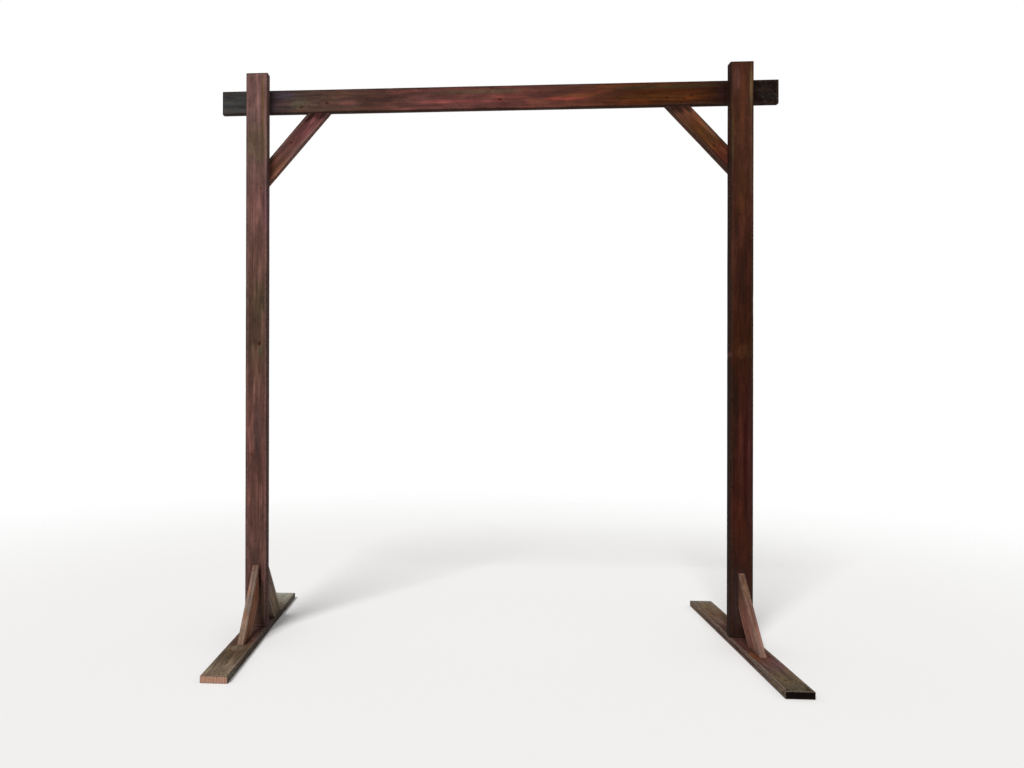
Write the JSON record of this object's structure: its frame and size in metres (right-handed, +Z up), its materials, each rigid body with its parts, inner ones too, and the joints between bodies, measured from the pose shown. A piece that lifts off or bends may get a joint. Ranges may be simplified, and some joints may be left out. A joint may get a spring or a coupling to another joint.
{
  "type": "wooden wedding arch",
  "caption": "Freestanding open timber frame: two posts, broad side to the front, on flat foot planks with diagonal struts, a board crossbeam behind the posts and diagonal knee braces.",
  "frame": {"origin": "on the ground, midway between the foot planks and halfway along them", "axes": "+Z up, +X to the right seen from the front; the front, where the posts stand in front of the crossbeam, faces -Y"},
  "size_m": [2.377, 1.272, 2.427],
  "materials": {
    "left_post_stain": "red-brown stain, faded and worn",
    "right_post_stain": "dark red-brown stain",
    "crossbeam_stain": "dark stain, from charcoal to red-brown",
    "brace_stain": "red-brown stain",
    "weathered_plank": "weathered grey-brown, stain worn off",
    "strut_stain": "red-brown stain, worn pale on the upper edges"
  },
  "bodies": {
    "root": {"left_post": "left_post_stain", "right_post": "right_post_stain", "crossbeam": "crossbeam_stain", "left_knee_brace": "brace_stain", "right_knee_brace": "brace_stain", "left_foot_plank": "weathered_plank", "right_foot_plank": "weathered_plank", "left_front_strut": "strut_stain", "left_back_strut": "strut_stain", "right_front_strut": "strut_stain"}
  },
  "joints": []
}
